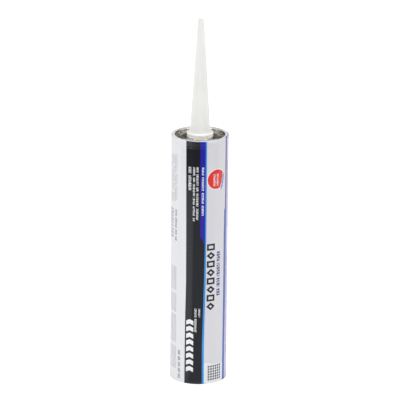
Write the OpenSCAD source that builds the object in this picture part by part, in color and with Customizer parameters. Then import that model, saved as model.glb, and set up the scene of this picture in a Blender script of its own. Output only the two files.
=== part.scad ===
// Sealant cartridge: fibre tube, seamed sheet end, fixed spout, wiper plunger.
// Stands on its rear edge at z = 0, spout up, axis on Z. Millimetres.

/* [Tube] */
// Height from the rear edge to the crest of the rim
tube_height = 218; // [190:0.5:240]
// Diameter over the printed film
pack_diameter = 49; // [45:0.1:54]
// Thickness of the wound fibre wall
tube_wall = 1.15; // [0.9:0.02:1.6]
// Thickness of the shrunk film sleeve
film = 0.25; // [0.2:0.01:0.35]
// Bare fibre left below the film
bare_foot = 0.2; // [0.1:0.1:2]

/* [Sheet end] */
// Thickness of the tinned sheet
sheet = 0.3; // [0.22:0.01:0.35]
// Height of the seam band round the rim
seam_height = 4; // [3.4:0.1:5]
// How much the seam band draws in towards its foot
seam_taper = 0.2; // [0.05:0.05:0.25]
// Depth of the tuck that the foot of the seam presses into the tube
tuck = 0.12; // [0.05:0.01:0.2]
// Rounding of the outer edge of the rim
rim_round = 0.95; // [0.7:0.05:1.2]
// Width of the rim from the film to the wall of the recess
rim_width = 4.2; // [3.4:0.1:4.6]
// Depth of the recess from the crest to its groove
recess_depth = 4.3; // [3.4:0.1:5.5]
// Flat bare sheet between the turned-in film and the rounding into the recess
bare_rim = 0.1; // [0.05:0.05:1.5]
// Depth of the raised panel below the crest
panel_drop = 2.2; // [1.6:0.1:2.6]
// Radius at which the raised panel turns flat
panel_flat_r = 15.4; // [14.8:0.1:16]

/* [Spout] */
// Length of the spout above the rim
spout_length = 103; // [70:0.5:120]
// Diameter of the spout at its foot
foot_diameter = 17.4; // [15:0.1:18.5]
// Diameter of the taper where the tip begins
tip_diameter = 5.55; // [4.6:0.05:7]
// Diameter of the closed nib on the tip
nib_diameter = 4.5; // [3.6:0.05:5]
// Wall at the foot of the spout
spout_wall = 1.35; // [1:0.05:1.8]
// Diameter of the clamped flange under the panel
flange_diameter = 28.6; // [27:0.1:29.2]
// Thickness of that flange
flange_thickness = 1.3; // [1:0.1:1.5]
// Diameter of the neck that stands in the hole of the panel
neck_diameter = 22; // [20.4:0.1:23]
// Diameter of the collar between neck and spout
collar_diameter = 22.8; // [21.4:0.1:24]
// Height of the collar's top above the rim
collar_rise = 2.05; // [1.2:0.05:3]
// Thickness of the foil disc bonded under the flange
foil_thickness = 0.15; // [0.1:0.01:0.25]

/* [Plunger] */
// Height of the plunger's front face above the rear edge
fill_start = 36; // [30:0.5:60]
// Length of the plunger
plunger_length = 22; // [18:0.5:26]
// Gap between each wiper lip and the tube
lip_clearance = 0.05; // [0.02:0.01:0.1]
// Wall of the plunger's cup
cup_wall = 1.5; // [1.2:0.1:2]
// Number of stiffening ribs in the cup
rib_count = 8; // [6:1:12]
// Thickness of each rib
rib_thickness = 1.2; // [0.8:0.1:1.6]

/* [Print] */
// Depth of every printed field in the film
ink = 0.12; // [0.1:0.01:0.14]
// How far the print runs in over the crest of the rim
print_turn = 1.6; // [0.2:0.1:2.2]
// Depth below the rim at which the blue band ends and the dark band widens
step_drop = 88; // [70:1:105]
// Angle of the round badge from the front
badge_angle = 36.5; // [30:0.5:40]
// Depth of the badge's middle below the rim
badge_drop = 34.1; // [20:0.1:60]
// Radius of the badge
badge_radius = 8.6; // [6:0.1:9.5]

/* [Hidden] */
$fa = 4;
$fs = 0.4;
big = 60;
// Heights and widths of the print are drawn for this pack and stretch with the tube
art_height = 218;
art_r = 24.5;
// Tube, film and seam
top = tube_height;
pack_r = pack_diameter / 2;
tube_r = pack_r - film;
bore_r = tube_r - tube_wall;
seam_r = pack_r + sheet;
seam_foot = top - seam_height;
print_r = seam_r - print_turn;
mouth_in = 1;
mouth_down = 1.4;
// Sheet end
crest_z = top - film - sheet / 2;
wall_r = seam_r - rim_width;
wall_lean = 0.55;
recess_round = 0.9;
crest_in_r = wall_r + recess_round + bare_rim;
groove_z = top - recess_depth - sheet / 2;
fill_end = groove_z - sheet / 2;
panel_z = top - panel_drop;
edge_bead_r = 0.4;
neck_r = neck_diameter / 2;
hole_r = neck_r + edge_bead_r + 0.03;
// Spout
flange_top = panel_z - sheet / 2;
flange_base = flange_top - flange_thickness;
collar_r = collar_diameter / 2;
collar_top = top + collar_rise;
foot_r = foot_diameter / 2;
tip_r = tip_diameter / 2;
nib_r = nib_diameter / 2;
spout_top = top + spout_length;
// Plunger
lip_r = bore_r - lip_clearance;
lip_land = 1.2;
lip_slope = 1.8;
cup_r = bore_r - 0.45;
cup_in_r = cup_r - cup_wall;
face_wall = 1.8;
rear = fill_start - plunger_length;
hub_r = 0.28 * bore_r;
hub_foot = rear + 0.18 * plunger_length;
rib_foot = rear + 0.27 * plunger_length;
// Print
step_height = top - step_drop;
badge_height = top - badge_drop;
ring_width = 0.75;

// Points of an arc from angle a0 to a1
function arc(c, r, a0, a1, n) =
  [for (i = [0 : n]) c + r * [cos(a0 + (a1 - a0) * i / n), sin(a0 + (a1 - a0) * i / n)]];
function turn(p) = [for (i = [len(p) - 1 : -1 : 0]) p[i]];
function part_of(p, a, b) = [for (i = [a : b]) p[i]];
function last(p) = p[len(p) - 1];
function sum(v, n) = n < 0 ? 0 : v[n] + sum(v, n - 1);
function left_of(a, b) = let (d = (b - a) / norm(b - a)) [-d[1], d[0]];
// A path moved sideways by t with its corners mitred
function beside(p, t) = [for (i = [0 : len(p) - 1])
  let (n1 = left_of(p[max(i - 1, 0)], p[max(i, 1)]),
       n2 = left_of(p[min(i, len(p) - 2)], p[min(i + 1, len(p) - 1)]))
  p[i] + t * (n1 + n2) / (1 + n1 * n2)];

// Outside of the film sleeve: foot, tuck, seam band, rounded crest, turned-in edge
film_path = concat(
  [[pack_r, bare_foot], [pack_r, seam_foot - 0.45], [pack_r - tuck, seam_foot],
   [seam_r - seam_taper, seam_foot + 0.35]],
  arc([seam_r - rim_round, top - rim_round], rim_round, 0, 90, 6),
  [[crest_in_r, top]]);
film_in = beside(film_path, film);

// Middle of the sheet: hook, crest, recess wall, groove, cone, flat, edge of the hole
hook_pts = concat(
  part_of(beside(film_path, film + sheet / 2), 3, 10),
  arc([wall_r + recess_round, crest_z - recess_round], recess_round, 90, 175, 6),
  [[wall_r - wall_lean, groove_z + 0.6]]);
sheet_path = concat(hook_pts,
  arc([wall_r - 2 * wall_lean, groove_z + 0.5], 0.5, 0, -90, 4),
  arc([wall_r - 3 * wall_lean, groove_z + 0.7], 0.7, -90, -125, 2),
  [[panel_flat_r + 0.8, panel_z - 0.35], [panel_flat_r, panel_z], [hole_r, panel_z]]);
hook_in = part_of(beside(sheet_path, sheet / 2), 0, len(hook_pts) - 1);

module spin() { rotate_extrude() children(); }

// Wound fibre tube with its mouth rolled in to fill the seam
module barrel() {
  color([0.72, 0.66, 0.56]) spin() polygon(concat(
    [[bore_r, 0], [tube_r, 0], film_in[1], film_in[2]], hook_in,
    [[last(hook_in)[0], fill_end], [bore_r - mouth_in, fill_end],
     [bore_r, fill_end - mouth_down]]));
}

// Sheet end: seam hook, recessed wall, groove, raised panel with a rolled hole edge
module top_end() {
  color([0.7, 0.7, 0.7]) spin() union() {
    polygon(concat(beside(sheet_path, -sheet / 2), turn(beside(sheet_path, sheet / 2))));
    translate([hole_r, panel_z + edge_bead_r - sheet / 2]) circle(r = edge_bead_r, $fn = 24);
  }
}

// Layer of the sleeve from its outside down to depth t
module skin(t) { spin() polygon(concat(film_path, turn(beside(film_path, t)))); }
// The printed layer, which stops on the crest
module print_skin() {
  difference() {
    skin(ink);
    translate([0, 0, top - 1]) cylinder(r = print_r, h = 2);
  }
}

// Artwork heights and widths on this tube
function up(z) = z * top / art_height;
function across(x) = x * pack_r / art_r;

// Flat outline seen from the front, pushed through the front of the tube
module front(pts) { rotate([90, 0, 0]) linear_extrude(height = big) polygon(pts); }
// Outline pushed out along the radius at angle a, from just inside the tube's skin
module at_angle(a) {
  rotate([0, 0, a]) rotate([90, 0, 0]) translate([0, 0, 0.88 * pack_r])
    linear_extrude(height = big) children();
}
// One row of dashes down the tube: angle, width, top, lengths, gap
module dashes(a, w, z, lens, gap) {
  at_angle(a) for (i = [0 : len(lens) - 1])
    translate([-across(w) / 2, up(z - sum(lens, i) - gap * i)])
      square([across(w), up(lens[i])]);
}

// Edges of the bands as seen from the front: x above the rim, at the step, mid, low and foot
levels = [top + 1, step_height, up(92), up(62), up(34), -1];
function edge(xs) = [for (i = [0 : len(levels) - 1]) [across(xs[i]), levels[i]]];
// Point at height z on stretch i of an edge
function on_edge(e, i, z) = e[i] + (e[i + 1] - e[i]) * (e[i][1] - z) / (e[i][1] - e[i + 1][1]);
dark_left = edge([-11.6, -11.05, -10.95, -11.45, -11.7, -11.8]);
line_left = edge([4.95, 4.95, 4.35, 3.7, 3.06, 3.27]);
line_right = edge([6.1, 6.1, 5.9, 5.3, 4.83, 5.02]);
violet_left = edge([22.9, 22.75, 22.8, 22.55, 22.35, 22.3]);
side_left = edge([21.75, 20.92, 20.9, 20.8, 20.7, 20.55]);
panel_right = [for (p = side_left) p + [across(0.8), 0]];
panel_foot = [on_edge(line_right, 4, up(19.5)), on_edge(panel_right, 4, up(16.2))];

module dark_area() { front(concat(dark_left, turn(line_left))); }
module blue_area() {
  front([[across(0.47), top + 1], [across(0.97), step_height + up(4.2)],
    on_edge(line_left, 1, step_height - up(3.5)), line_left[1], line_left[0]]);
}
module light_area() { front(concat(line_left, turn(line_right))); }
module panel_area() {
  front(concat(part_of(line_right, 0, 4), panel_foot, turn(part_of(panel_right, 0, 4))));
}
module violet_area() {
  rotate([90, 0, 0]) translate([0, 0, -big / 2]) linear_extrude(height = big)
    polygon(concat(violet_left, [[big / 2, -1], [big / 2, top + 1]]));
}
// Line beside the violet band, which widens at a step
module violet_line_area() {
  front(concat([side_left[0], [across(21.65), up(156)], [across(21.1), up(154)]],
    part_of(side_left, 1, 5), turn(violet_left)));
}

// Badge: disc with a straight peeled side, its pale ring and the peeled sliver
function of_badge(pts) = pts * badge_radius / 8.6;
badge_cut = of_badge([[5.9, 9], [7.0, 4.6], [3.6, -9.6], [2.9, -12], [12, -12], [12, 9]]);
badge_fold = of_badge([[7.75, 4.4], [8.6, 2.4], [6.7, -7.6], [4.6, -10.2], [4.3, -9.4]]);
module badge_disc(grow) {
  translate([0, badge_height]) difference() {
    circle(r = badge_radius + grow, $fn = 72);
    translate([grow, 0]) polygon(badge_cut);
  }
}
module badge_area() { at_angle(badge_angle) badge_disc(0); }
module badge_ring_area() { at_angle(badge_angle) badge_disc(ring_width); }
module badge_fold_area() { at_angle(badge_angle) translate([0, badge_height]) polygon(badge_fold); }

// Rows of dashes and shapes that stand where a pack carries its wording
module pale_marks_area() {
  dashes(-19.8, 2.5, 196, [6, 13], 2);
  dashes(-11.2, 1.8, 196, [8, 4, 11, 6, 9, 3], 1.5);
  dashes(-4.4, 1.8, 196, [5, 10, 4, 12, 10], 1.5);
  dashes(6.6, 1.8, 195.5, [7, 12, 10, 9], 1.6);
  dashes(-6.2, 1.9, 69, [8, 12], 1.4);
  dashes(1.4, 1.5, 69, [8], 1.4);
  dashes(73.5, 2, 197, [9, 15, 7, 12, 9], 2);
  dashes(73.5, 2, 116, [14, 8, 17, 10, 13, 11, 9], 2);
  at_angle(-17.8) for (i = [0 : 7]) translate([0, up(11 + 6.1 * i)])
    polygon([for (p = [[-3.2, 0], [0, 1.5], [3.2, 0], [3.2, 3.9], [0, 5.4], [-3.2, 3.9]])
      [across(p[0]), up(p[1])]]);
  at_angle(badge_angle) translate([0, badge_height])
    for (x = [-3.4, -0.1]) translate(of_badge([x, -5.8])) square(of_badge([1.9, 10.8]));
}
// Eight plain shapes in a column, hollow squares and hollow diamonds in turn
module name_area() {
  at_angle(24.6) for (i = [0 : 7]) translate([0, up(123.9 - 7.64 * i)]) scale(pack_r / art_r)
    if (i % 2 == 0) difference() {
      square([7.4, 5.9], center = true);
      square([4.1, 2.6], center = true);
    } else difference() {
      polygon([[-4, 0], [0, -3.5], [4, 0], [0, 3.5]]);
      polygon([[-1.5, 0], [0, -1.3], [1.5, 0], [0, 1.3]]);
    }
}
// A square field of dots
module code_area() {
  at_angle(35.2) for (i = [0 : 5], j = [0 : 5])
    translate([across(2.3 * (i - 2.5)), up(9.6 + 2.35 * (j - 2.5))])
      square([across(1.5), up(1.6)], center = true);
}
module violet_marks_area() { dashes(42.4, 3.6, 119, [9, 12, 8, 6], 1.6); }
module grey_marks_area() {
  dashes(-71, 2.4, 203, [12, 18, 9], 1.6);
  dashes(-63.5, 2.2, 204, [9, 14, 7, 8], 1.5);
  dashes(-57, 1.8, 203, [16, 10, 12], 1.5);
  dashes(-52, 1.3, 205, [16, 10, 12], 1.5);
  for (i = [0 : 8]) dashes(-71, 6.6, 155 - i * 3, [2], 0);
  dashes(-54, 2.4, 155, [6, 9, 5, 4], 1.4);
  for (a = [-72, -65.5, -59.5, -54]) dashes(a, 1.9, 104, [22, 17, 26, 21], 2.3);
  for (i = [0 : 4]) dashes(-42.5, 2.6, 29 - i * 5.4, [4.2], 0);
}

// Film sleeve, shrunk over the seam, with a pocket for each printed field
module label() {
  color([0.89, 0.9, 0.91]) difference() {
    skin(film);
    intersection() {
      print_skin();
      union() {
        dark_area(); light_area(); panel_area(); violet_area(); violet_line_area();
        grey_marks_area(); code_area();
      }
    }
  }
}
module print_dark_band() {
  color([0.13, 0.13, 0.15]) difference() {
    intersection() { print_skin(); dark_area(); }
    blue_area();
    pale_marks_area();
  }
}
module print_blue_band() {
  color([0.18, 0.15, 0.63]) difference() {
    intersection() { print_skin(); blue_area(); }
    pale_marks_area();
  }
}
module print_light_line() {
  color([0.25, 0.56, 0.86]) intersection() { print_skin(); light_area(); }
}
module print_grey_panel() {
  color([0.83, 0.83, 0.86]) difference() {
    intersection() { print_skin(); panel_area(); }
    violet_line_area();
    badge_ring_area();
    badge_fold_area();
    name_area();
    violet_marks_area();
  }
}
module print_violet_band() {
  color([0.52, 0.47, 0.7]) difference() {
    intersection() { print_skin(); violet_area(); }
    pale_marks_area();
  }
}
module print_violet_line() {
  color([0.36, 0.45, 0.74]) difference() {
    intersection() { print_skin(); violet_line_area(); }
    violet_area();
  }
}
module print_badge() {
  color([0.86, 0.22, 0.18]) difference() {
    intersection() { print_skin(); badge_area(); }
    pale_marks_area();
  }
}
module print_badge_fold() {
  color([0.35, 0.52, 0.8]) difference() {
    intersection() { print_skin(); badge_fold_area(); }
    badge_ring_area();
  }
}
module print_pale_marks() {
  color([0.93, 0.93, 0.94]) intersection() {
    print_skin();
    union() {
      pale_marks_area();
      difference() { badge_ring_area(); badge_area(); light_area(); }
    }
  }
}
module print_dark_marks() {
  color([0.15, 0.15, 0.16]) intersection() {
    print_skin();
    union() { name_area(); code_area(); }
  }
}
module print_violet_marks() {
  color([0.35, 0.26, 0.55]) intersection() { print_skin(); violet_marks_area(); }
}
module print_grey_marks() {
  color([0.74, 0.74, 0.75]) intersection() { print_skin(); grey_marks_area(); }
}

// Tapered spout with a closed nib, a collar, a neck in the hole and a clamped flange
module spout() {
  flange_r = flange_diameter / 2;
  outside = concat(
    [[flange_r, flange_base], [flange_r, flange_top], [neck_r, flange_top], [neck_r, top - 0.2],
     [neck_r - 0.55, top + 0.1], [neck_r - 0.55, top + 0.3], [collar_r - 0.25, top + 0.4]],
    arc([collar_r - 0.3, top + 0.7], 0.3, -60, 0, 2),
    arc([collar_r - 0.55, collar_top - 0.55], 0.55, 0, 90, 5),
    arc([foot_r + 0.65, collar_top + 0.7], 0.65, 270, 184, 4),
    arc([tip_r - 0.5, spout_top - 3.7], 0.5, 4, 90, 4),
    arc([0, spout_top - nib_r], nib_r, 4, 90, 8));
  bore_tip = tip_r - 1.15;
  inside = concat(
    [[0, spout_top - 1.3]],
    arc([0, spout_top - 1.3 - bore_tip], bore_tip, 75, 4, 5),
    [[foot_r - spout_wall, top + 1], [foot_r - spout_wall, flange_base]]);
  color([0.93, 0.93, 0.91]) spin() polygon(concat(outside, inside));
}

// Foil disc that closes the foot of the spout until it is pierced
module foil_seal() {
  color([0.8, 0.8, 0.8]) translate([0, 0, flange_base - foil_thickness])
    cylinder(r = flange_diameter / 2 - 0.3, h = foil_thickness);
}

// Paste between the plunger and the sheet end
module adhesive() {
  r = bore_r - 0.02;
  color([0.9, 0.86, 0.76]) spin() polygon([[0, fill_start], [r, fill_start],
    [r, fill_end - mouth_down], [r - mouth_in, fill_end], [0, fill_end]]);
}

// Cup plunger with two wiper lips, a hub and ribs open to the rear
module plunger() {
  hub_wall = rib_thickness;
  lip_run = lip_land + lip_slope;
  color([0.92, 0.92, 0.9]) union() {
    spin() polygon([[0, fill_start], [lip_r, fill_start], [lip_r, fill_start - lip_land],
      [cup_r, fill_start - lip_run], [cup_r, rear + lip_run], [lip_r, rear + lip_land],
      [lip_r, rear], [cup_in_r + 0.4, rear], [cup_in_r, rear + 1.5],
      [cup_in_r - 0.3, fill_start - face_wall - 1], [cup_in_r - 1.3, fill_start - face_wall],
      [0, fill_start - face_wall]]);
    spin() translate([hub_r - hub_wall, hub_foot])
      square([hub_wall, fill_start - face_wall / 2 - hub_foot]);
    for (i = [0 : rib_count - 1]) rotate([0, 0, i * 360 / rib_count])
      translate([hub_r - hub_wall / 2, -rib_thickness / 2, rib_foot])
        cube([cup_in_r + cup_wall / 3 - hub_r + hub_wall / 2, rib_thickness,
          fill_start - face_wall / 2 - rib_foot]);
  }
}

barrel();
top_end();
label();
print_dark_band();
print_blue_band();
print_light_line();
print_grey_panel();
print_violet_band();
print_violet_line();
print_badge();
print_badge_fold();
print_pale_marks();
print_dark_marks();
print_violet_marks();
print_grey_marks();
spout();
foil_seal();
plunger();
adhesive();
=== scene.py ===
import math

import bmesh
import bpy
from mathutils import Matrix, Vector


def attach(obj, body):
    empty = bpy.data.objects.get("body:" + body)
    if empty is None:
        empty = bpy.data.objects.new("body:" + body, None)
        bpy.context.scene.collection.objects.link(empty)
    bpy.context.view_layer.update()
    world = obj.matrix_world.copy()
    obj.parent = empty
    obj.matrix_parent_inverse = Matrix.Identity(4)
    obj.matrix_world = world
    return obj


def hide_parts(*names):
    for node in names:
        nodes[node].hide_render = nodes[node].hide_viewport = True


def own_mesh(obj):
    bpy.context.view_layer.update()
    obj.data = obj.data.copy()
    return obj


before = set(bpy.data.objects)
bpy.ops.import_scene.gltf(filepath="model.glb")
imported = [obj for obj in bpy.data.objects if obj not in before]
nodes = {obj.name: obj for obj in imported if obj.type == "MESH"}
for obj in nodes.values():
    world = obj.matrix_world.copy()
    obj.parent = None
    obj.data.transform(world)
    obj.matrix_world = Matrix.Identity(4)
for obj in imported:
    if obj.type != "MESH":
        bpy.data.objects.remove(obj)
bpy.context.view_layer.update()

# Sizes repeated from the part's source, in metres
TOP = 0.218
PACK_R = 0.0245
BORE_R = 0.0231
MOUTH_IN = 0.001
MOUTH_DOWN = 0.0014
FILL_START = 0.036
FILL_END = 0.2134
LINE_STEP = 0.155

scene = bpy.context.scene


def srgb(*rgb):
    """Linear colour, with alpha, from sRGB values of 0 to 255."""
    out = []
    for v in rgb:
        v /= 255
        out.append(v / 12.92 if v <= 0.04045 else ((v + 0.055) / 1.055) ** 2.4)
    return (*out, 1.0)


# ---- camera

CAM_PLACE = (0.0, -3.08835, 1.15437)
CAM_PITCH = 17.866
CAM_YAW = 0.0078
CAM_ROLL = 0.4914
FOCAL_PX = 3796.5
IMAGE_PX = 400


def add_camera():
    pitch, yaw, roll = (math.radians(a) for a in (CAM_PITCH, CAM_YAW, CAM_ROLL))
    look = Vector(
        (math.sin(yaw) * math.cos(pitch), math.cos(yaw) * math.cos(pitch), -math.sin(pitch))
    )
    right = look.cross(Vector((0, 0, 1))).normalized()
    up = right.cross(look)
    right, up = (
        math.cos(roll) * right + math.sin(roll) * up,
        math.cos(roll) * up - math.sin(roll) * right,
    )
    data = bpy.data.cameras.new("camera")
    data.sensor_width = 36
    data.lens = FOCAL_PX / IMAGE_PX * data.sensor_width
    data.clip_end = 50
    cam = bpy.data.objects.new("camera", data)
    scene.collection.objects.link(cam)
    turn = Matrix((right, up, -look)).transposed().to_4x4()
    cam.matrix_world = Matrix.Translation(CAM_PLACE) @ turn
    scene.camera = cam


add_camera()
scene.view_settings.view_transform = "Standard"

# ---- materials


class Shader:
    """A new material with short calls to add and join nodes."""

    def __init__(self, name):
        self.mat = bpy.data.materials.new(name)
        self.mat.use_nodes = True
        self.tree = self.mat.node_tree
        self.bsdf = self.tree.nodes["Principled BSDF"]
        self.coords = self.tree.nodes.new("ShaderNodeTexCoord").outputs["Object"]

    def set(self, **values):
        for key, value in values.items():
            self.bsdf.inputs[key.replace("_", " ")].default_value = value

    def node(self, kind, **inputs):
        n = self.tree.nodes.new("ShaderNode" + kind)
        for key, value in inputs.items():
            self.put(n.inputs[key.replace("_", " ")], value)
        return n

    def put(self, socket, value):
        if isinstance(value, bpy.types.NodeSocket):
            self.tree.links.new(value, socket)
        else:
            socket.default_value = value

    def math(self, op, *values):
        n = self.tree.nodes.new("ShaderNodeMath")
        n.operation = op
        for i, value in enumerate(values):
            self.put(n.inputs[i], value)
        return n.outputs[0]

    def noise(self, scale, detail=3.0, rough=0.55, stretch=(1, 1, 1), vector=None):
        v = vector or self.coords
        if stretch != (1, 1, 1):
            m = self.node("Mapping", Vector=v)
            m.inputs["Scale"].default_value = stretch
            v = m.outputs[0]
        return self.node(
            "TexNoise", Vector=v, Scale=scale, Detail=detail, Roughness=rough
        ).outputs["Fac"]

    def span(self, value, a, b, lo, hi):
        n = self.node("MapRange", Value=value)
        for i, v in enumerate((a, b, lo, hi)):
            n.inputs[i + 1].default_value = v
        n.clamp = True
        return n.outputs[0]

    def xyz(self):
        n = self.node("SeparateXYZ", Vector=self.coords)
        return n.outputs[0], n.outputs[1], n.outputs[2]

    def mix(self, fac, a, b):
        n = self.tree.nodes.new("ShaderNodeMix")
        n.data_type = "RGBA"
        self.put(n.inputs["Factor"], fac)
        self.put(n.inputs[6], a)
        self.put(n.inputs[7], b)
        return n.outputs[2]

    def bump(self, height, strength, distance, under=None):
        n = self.node("Bump", Height=height, Strength=strength, Distance=distance)
        if under is not None:
            self.put(n.inputs["Normal"], under)
        return n.outputs[0]


PLEATS = 0.0065
FILM_ROUGH = (0.11, 0.17)
PLY_PITCH = 0.00029
HAZE_DEPTH = 0.0015


def shade(colour, factor):
    return (*(min(1.0, c * factor) for c in colour[:3]), 1.0)


def film_surface(s):
    """The shrunk film that all the print lies under: slack waves, shrink wrinkles at the rim."""
    x, y, z = s.xyz()
    angle = s.math("ARCTAN2", y, x)
    wrap = s.node("CombineXYZ", X=angle, Y=s.math("MULTIPLY", z, 6.0)).outputs[0]
    near_rim = s.span(z, TOP - PLEATS, TOP - 0.0005, 0.0, 1.0)
    pleats = s.math("MULTIPLY", s.noise(9.0, 2.0, 0.5, (1, 0.25, 1), wrap), near_rim)
    slack = s.noise(22.0, 2.0, 0.5, (1, 1, 0.3))
    grain = s.noise(900.0, 3.0, 0.6)
    n = s.bump(grain, 0.03, 0.0004)
    n = s.bump(slack, 0.12, 0.0012, n)
    n = s.bump(pleats, 0.5, 0.0012, n)
    s.put(s.bsdf.inputs["Normal"], n)
    smear = s.noise(60.0, 4.0, 0.6, (1, 1, 0.25))
    rough = s.span(smear, 0.3, 0.7, *FILM_ROUGH)
    s.put(s.bsdf.inputs["Roughness"], rough)
    s.set(IOR=1.5)


def ink_tone(s, colour, cloud):
    """The faint unevenness of printed ink."""
    tone = s.noise(26.0, 4.0, 0.6, (1, 1, 0.35))
    speck = s.noise(1500.0, 2.0, 0.5)
    both = s.math("ADD", s.math("MULTIPLY", tone, 0.75), s.math("MULTIPLY", speck, 0.25))
    fac = s.span(both, 0.35, 0.65, 0.0, 1.0)
    return s.mix(fac, shade(colour, 1 - cloud), shade(colour, 1 + cloud))


def film(name, colour, cloud):
    """An ink, or the bare film."""
    s = Shader(name)
    s.put(s.bsdf.inputs["Base Color"], ink_tone(s, colour, cloud))
    film_surface(s)
    return s.mat


def wording(name, ink, ground, pitch=0.0014, cover=0.0):
    """Rows that stand for small print: blots of ink the size of letters, which spell nothing."""
    s = Shader(name)
    x, y, z = s.xyz()
    across = s.math("MULTIPLY", s.math("ARCTAN2", y, x), PACK_R)
    place = s.node("CombineXYZ", X=across, Y=z).outputs[0]
    blots = s.noise(1.0 / (0.62 * pitch), 1.0, 0.5, (1.25, 1, 1), place)
    gaps = s.math("SINE", s.math("MULTIPLY", z, 2 * math.pi / pitch))
    inked = s.math(
        "MULTIPLY",
        s.span(blots, 0.42 - cover, 0.5 - cover, 0.0, 1.0),
        s.span(gaps, -0.95, -0.6, 0.0, 1.0),
    )
    s.put(
        s.bsdf.inputs["Base Color"],
        s.mix(inked, ink_tone(s, ground, 0.03), ink_tone(s, ink, 0.02)),
    )
    film_surface(s)
    return s.mat


def side_line(name, upper, lower):
    """The line beside the violet band, which changes colour at its step."""
    s = Shader(name)
    x, y, z = s.xyz()
    step = s.span(z, LINE_STEP - 0.001, LINE_STEP + 0.001, 0.0, 1.0)
    s.put(s.bsdf.inputs["Base Color"], s.mix(step, lower, upper))
    film_surface(s)
    return s.mat


def tinplate(name):
    """Bright drawn sheet: fine rings from the press tool, dull blooms, warm tint."""
    s = Shader(name)
    x, y, z = s.xyz()
    r = s.math("SQRT", s.math("ADD", s.math("MULTIPLY", x, x), s.math("MULTIPLY", y, y)))
    path = s.math("ADD", r, s.math("MULTIPLY", z, -0.8))
    rings = s.noise(5200.0, 2.0, 0.5, (1, 1, 1), s.node("CombineXYZ", X=path).outputs[0])
    bloom = s.noise(180.0, 4.0, 0.6)
    tone = s.mix(s.span(bloom, 0.35, 0.7, 0.0, 1.0), srgb(222, 219, 212), srgb(196, 191, 182))
    s.put(s.bsdf.inputs["Base Color"], tone)
    s.set(Metallic=1.0)
    rough = s.math("ADD", s.span(bloom, 0.3, 0.7, 0.16, 0.3), s.math("MULTIPLY", rings, 0.06))
    s.put(s.bsdf.inputs["Roughness"], rough)
    n = s.bump(rings, 0.06, 0.0002)
    s.put(s.bsdf.inputs["Normal"], s.bump(s.noise(220.0, 2.0), 0.08, 0.0004, n))
    return s.mat


def natural_polymer(name, colour):
    """Unpigmented polyethylene: waxy, cloudy, lets light through its thin wall."""
    s = Shader(name)
    cloud = s.noise(70.0, 4.0, 0.6, (1, 1, 0.4))
    s.put(
        s.bsdf.inputs["Base Color"],
        s.mix(s.span(cloud, 0.35, 0.65, 0.0, 1.0), shade(colour, 0.97), shade(colour, 1.03)),
    )
    s.set(
        Subsurface_Weight=0.85,
        Subsurface_Radius=(1.0, 0.98, 0.92),
        Subsurface_Scale=HAZE_DEPTH,
        IOR=1.51,
    )
    flow = s.noise(40.0, 3.0, 0.6, (1, 1, 0.12))
    s.put(s.bsdf.inputs["Roughness"], s.span(flow, 0.3, 0.7, 0.3, 0.42))
    n = s.bump(s.noise(1400.0, 2.0), 0.06, 0.0003)
    s.put(s.bsdf.inputs["Normal"], s.bump(flow, 0.15, 0.0008, n))
    return s.mat


def fibre(name):
    """Cut edge and bore of a wound board tube: plies as fine rings, short fibres."""
    s = Shader(name)
    x, y, z = s.xyz()
    r = s.math("SQRT", s.math("ADD", s.math("MULTIPLY", x, x), s.math("MULTIPLY", y, y)))
    plies = s.math("SINE", s.math("MULTIPLY", r, 2 * math.pi / PLY_PITCH))
    hair = s.noise(2400.0, 4.0, 0.7)
    fleck = s.noise(500.0, 5.0, 0.7)
    tone = s.mix(
        s.span(s.math("ADD", s.math("MULTIPLY", plies, 0.22), fleck), 0.2, 0.85, 0.0, 1.0),
        srgb(150, 132, 106),
        srgb(196, 180, 152),
    )
    s.put(s.bsdf.inputs["Base Color"], tone)
    s.set(Roughness=0.85)
    n = s.bump(plies, 0.25, 0.0002)
    s.put(s.bsdf.inputs["Normal"], s.bump(hair, 0.4, 0.0003, n))
    return s.mat


def foil(name):
    s = Shader(name)
    s.put(
        s.bsdf.inputs["Base Color"],
        s.mix(s.noise(260.0, 4.0), srgb(205, 206, 208), srgb(226, 227, 229)),
    )
    s.set(Metallic=1.0)
    s.put(s.bsdf.inputs["Roughness"], s.span(s.noise(120.0), 0.3, 0.7, 0.2, 0.4))
    s.put(s.bsdf.inputs["Normal"], s.bump(s.noise(500.0, 5.0), 0.5, 0.0004))
    return s.mat


def paste(name):
    s = Shader(name)
    s.put(
        s.bsdf.inputs["Base Color"],
        s.mix(s.noise(140.0, 5.0, 0.6), srgb(222, 212, 190), srgb(236, 228, 208)),
    )
    s.set(Subsurface_Weight=0.3, Subsurface_Radius=(1.0, 0.8, 0.5), Subsurface_Scale=0.002)
    s.put(s.bsdf.inputs["Roughness"], s.span(s.noise(200.0), 0.3, 0.7, 0.3, 0.5))
    s.put(s.bsdf.inputs["Normal"], s.bump(s.noise(320.0, 6.0, 0.65), 0.35, 0.0006))
    return s.mat


DARK = srgb(29, 31, 37)
BLUE = srgb(40, 30, 162)
PANEL = srgb(213, 213, 218)
VIOLET = srgb(196, 190, 224)
RED = srgb(222, 56, 48)
PALE = srgb(236, 236, 240)
WHITE = srgb(229, 230, 233)

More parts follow.
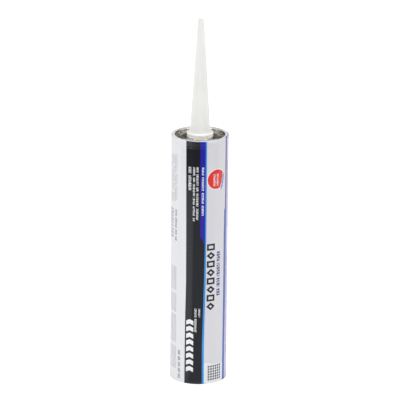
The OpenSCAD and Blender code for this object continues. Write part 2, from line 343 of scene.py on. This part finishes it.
LOOKS = {
    "barrel": fibre("fibre_board"),
    "top_end": tinplate("tinplate"),
    "label": film("film_white", WHITE, 0.012),
    "print_dark_band": film("ink_dark", DARK, 0.08),
    "print_blue_band": film("ink_blue", BLUE, 0.06),
    "print_light_line": film("ink_light_blue", srgb(56, 142, 218), 0.05),
    "print_grey_panel": film("ink_grey", PANEL, 0.02),
    "print_violet_band": film("ink_violet", VIOLET, 0.05),
    "print_violet_line": side_line("ink_violet_line", srgb(104, 96, 146), srgb(70, 98, 172)),
    "print_badge": film("ink_red", RED, 0.04),
    "print_badge_fold": film("ink_fold", srgb(96, 140, 206), 0.05),
    "print_pale_marks": film("ink_pale", PALE, 0.015),
    "print_dark_marks": film("ink_charcoal", srgb(38, 38, 42), 0.08),
    "print_violet_marks": wording("ink_purple", srgb(64, 50, 134), PANEL, 0.0024, 0.06),
    "print_grey_marks": wording("ink_light_grey", srgb(176, 176, 180), WHITE),
    "spout": natural_polymer("natural_polymer", srgb(242, 242, 238)),
    "foil_seal": foil("foil"),
    "plunger": natural_polymer("plunger_polymer", srgb(232, 232, 226)),
    "adhesive": paste("paste"),
}
for name, look in LOOKS.items():
    mesh = nodes[name].data
    mesh.materials.clear()
    mesh.materials.append(look)

# The pale rows lie on four grounds; the chevrons and the badge's ring stay plain.
# Two groups of the grey rows are bolder.
BARS_FOOT = 0.125
BARS_TOP = 0.158
CODE_TOP = 0.031
CODE_X = -0.0185
CHEVRON_TOP = 0.063
CHEVRON_X = -0.0042
BADGE_ANGLE = math.radians(36.5)
BADGE_HEIGHT = 0.1839
BADGE_INNER = 0.0075
BADGE_X = 0.006
BLUE_FOOT = 0.13
BLUE_X = 0.0007
VIOLET_X = 0.0203


def pale_ground(c):
    """Which ground lies round the pale mark with a face at c: 0 for a plain mark."""
    if c.x > VIOLET_X:
        return 3
    along = c.x * math.cos(BADGE_ANGLE) + c.y * math.sin(BADGE_ANGLE)
    if c.x > BADGE_X:
        return 4 if math.hypot(along, c.z - BADGE_HEIGHT) < BADGE_INNER else 0
    if c.z < CHEVRON_TOP and c.x < CHEVRON_X:
        return 0
    return 2 if c.x > BLUE_X and c.z > BLUE_FOOT else 1


def grey_ground(c):
    """Which grey mark has a face at c: 1 for the bolder rows."""
    return int(BARS_FOOT < c.z < BARS_TOP or (c.z < CODE_TOP and c.x > CODE_X))


pale = nodes["print_pale_marks"].data
for name, ground in (("dark", DARK), ("blue", BLUE), ("violet", VIOLET), ("red", RED)):
    mark = srgb(118, 108, 172) if ground == VIOLET else PALE
    pale.materials.append(wording("ink_on_" + name, mark, ground))
for face in pale.polygons:
    face.material_index = pale_ground(face.center)
grey = nodes["print_grey_marks"].data
grey.materials.append(wording("ink_mid_grey", srgb(122, 122, 126), WHITE, 0.0014, 0.04))
for face in grey.polygons:
    face.material_index = grey_ground(face.center)

# ---- paste, lathed between FILL_START and FILL_END; in the real cartridge it shortens as the plunger comes up

PASTE_GAP = 0.00003
PASTE_SIDE_GAP = 0.00004
PASTE_EDGE = 0.0004
PASTE_STEPS = 96


def add_paste():
    """The paste as a lathed body that follows the tube's rolled mouth."""
    bm = bmesh.new()
    r, edge = BORE_R - PASTE_SIDE_GAP, PASTE_EDGE
    lo, hi = FILL_START + PASTE_GAP, FILL_END - PASTE_GAP
    shoulder = hi - MOUTH_DOWN
    profile = [(r * k / 6, lo) for k in range(6)]
    for i in range(4):
        a = math.radians(-90 + 30 * i)
        profile.append((r - edge + edge * math.cos(a), lo + edge + edge * math.sin(a)))
    profile += [(r, lo + (shoulder - lo) * k / 24) for k in range(1, 25)]
    profile += [(r - MOUTH_IN * k / 3, shoulder + MOUTH_DOWN * k / 3) for k in range(1, 4)]
    profile += [((r - MOUTH_IN) * k / 6, hi) for k in range(5, -1, -1)]
    steps = PASTE_STEPS
    rows = []
    for pr, pz in profile:
        count = steps if pr else 1
        turns = [2 * math.pi * i / steps for i in range(count)]
        rows.append([bm.verts.new((pr * math.cos(t), pr * math.sin(t), pz)) for t in turns])
    for a, b in zip(rows, rows[1:]):
        for i in range(steps):
            j = (i + 1) % steps
            ring = [a[i % len(a)], a[j % len(a)], b[j % len(b)], b[i % len(b)]]
            bm.faces.new(list(dict.fromkeys(ring)))
    bmesh.ops.recalc_face_normals(bm, faces=bm.faces)
    mesh = bpy.data.meshes.new("paste_body")
    bm.to_mesh(mesh)
    bm.free()
    mesh.polygons.foreach_set("use_smooth", [True] * len(mesh.polygons))
    mesh.materials.append(LOOKS["adhesive"])
    obj = bpy.data.objects.new("paste_body", mesh)
    scene.collection.objects.link(obj)
    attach(obj, "cartridge")
    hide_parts("adhesive")
    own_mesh(obj)


add_paste()

# ---- floor, world and lamps


def flat_mesh(name, points, faces=None):
    mesh = bpy.data.meshes.new(name)
    mesh.from_pydata(points, [], faces or [list(range(len(points)))])
    obj = bpy.data.objects.new(name, mesh)
    scene.collection.objects.link(obj)
    return obj


def around(azimuth, r, z):
    """Point at an azimuth from the front, to the right, at distance r from the axis."""
    a = math.radians(azimuth)
    return (r * math.sin(a), -r * math.cos(a), z)


TABLE_R = 0.6
TABLE_GLOW = 0.4
TABLE_CARD_Z = 0.0006
WALL_R = 2.2
WALL_HEAD = 1.7
WORLD_LEVEL = 0.7


def add_floor():
    """Table with a round front, out of the camera's sight, that the film mirrors."""
    front = [around(a, TABLE_R, 0) for a in range(-80, 81, 5)]
    obj = flat_mesh("floor", front + [(2.4, -0.1, 0), (2.4, 5, 0), (-2.4, 5, 0), (-2.4, -0.1, 0)])
    s = Shader("floor")
    s.put(
        s.bsdf.inputs["Base Color"],
        s.mix(s.noise(6.0), srgb(247, 247, 247), srgb(249, 249, 249)),
    )
    s.set(Roughness=0.9, Specular_IOR_Level=0.1, Emission_Color=(1, 1, 1, 1))
    path = s.node("LightPath")
    s.put(
        s.bsdf.inputs["Emission Strength"],
        s.math("MULTIPLY", path.outputs["Is Camera Ray"], TABLE_GLOW),
    )
    obj.data.materials.append(s.mat)


def reflected_only(obj, level):
    """Makes a card of even brightness that only mirrors show."""
    s = Shader(obj.name)
    s.set(Base_Color=(0, 0, 0, 1), Roughness=1.0, Specular_IOR_Level=0.0)
    s.set(Emission_Color=(1, 1, 1, 1), Emission_Strength=level)
    obj.data.materials.append(s.mat)
    obj.visible_camera = False
    obj.visible_diffuse = False
    obj.visible_transmission = False
    obj.visible_shadow = False


def add_dark_wall(name, angles, foot, head, level):
    """A curved unlit wall that stands round the table."""
    low = [around(a, WALL_R, foot) for a in angles]
    high = [around(a, WALL_R, head) for a in angles]
    n = len(low)
    faces = [(i, i + 1, n + i + 1, n + i) for i in range(n - 1)]
    reflected_only(flat_mesh(name, low + high, faces), level)


def add_cards():
    """The unlit room in front of the table and behind it, and a painted shade on the table's near
    side that only mirrors show.
    """
    add_dark_wall("dark_room", range(-80, 81, 5), -1.3, WALL_HEAD, 0.015)
    add_dark_wall("dark_back", range(100, 261, 5), 0.3, WALL_HEAD, 0.03)
    # painted shade: a grey card on the white table, seen only in reflections, darkens the table
    # where the film mirrors it
    near = [around(a, 0.03, TABLE_CARD_Z) for a in (-26, 0, 30, 60)]
    far = [around(a, TABLE_R, TABLE_CARD_Z) for a in (60, 40, 20, 0, -13, -26)]
    reflected_only(flat_mesh("table_shade_card", near + far), 0.45)


def add_world():
    world = bpy.data.worlds.new("studio")
    scene.world = world
    world.use_nodes = True
    tree = world.node_tree
    tree.nodes.clear()
    path = tree.nodes.new("ShaderNodeLightPath")
    seen = tree.nodes.new("ShaderNodeMath")
    seen.operation = "MAXIMUM"
    tree.links.new(path.outputs["Is Camera Ray"], seen.inputs[0])
    tree.links.new(path.outputs["Is Transmission Ray"], seen.inputs[1])
    also = tree.nodes.new("ShaderNodeMath")
    also.operation = "MAXIMUM"
    tree.links.new(seen.outputs[0], also.inputs[0])
    tree.links.new(path.outputs["Is Glossy Ray"], also.inputs[1])
    strength = tree.nodes.new("ShaderNodeMapRange")
    tree.links.new(also.outputs[0], strength.inputs[0])
    strength.inputs[3].default_value = WORLD_LEVEL
    strength.inputs[4].default_value = 1.0
    back = tree.nodes.new("ShaderNodeBackground")
    back.inputs[0].default_value = (1, 1, 1, 1)
    tree.links.new(strength.outputs[0], back.inputs[1])
    out = tree.nodes.new("ShaderNodeOutputWorld")
    tree.links.new(back.outputs[0], out.inputs[0])


def add_lamp(name, place, aim, size, power):
    data = bpy.data.lights.new(name, "AREA")
    data.shape = "RECTANGLE"
    data.size, data.size_y = size
    data.energy = power
    obj = bpy.data.objects.new(name, data)
    scene.collection.objects.link(obj)
    obj.location = place
    obj.rotation_euler = (Vector(aim) - Vector(place)).to_track_quat("-Z", "Y").to_euler()


add_floor()
add_cards()
add_world()
MIDDLE = (0, 0, 0.16)
add_lamp("key_left", (-1.3, -1.2, 1.25), MIDDLE, (0.7, 0.9), 9)
add_lamp("fill_right", (1.5, -1.0, 1.1), MIDDLE, (0.7, 0.9), 8)
add_lamp("overhead", (0.0, 0.1, 2.0), MIDDLE, (1.4, 1.0), 9)
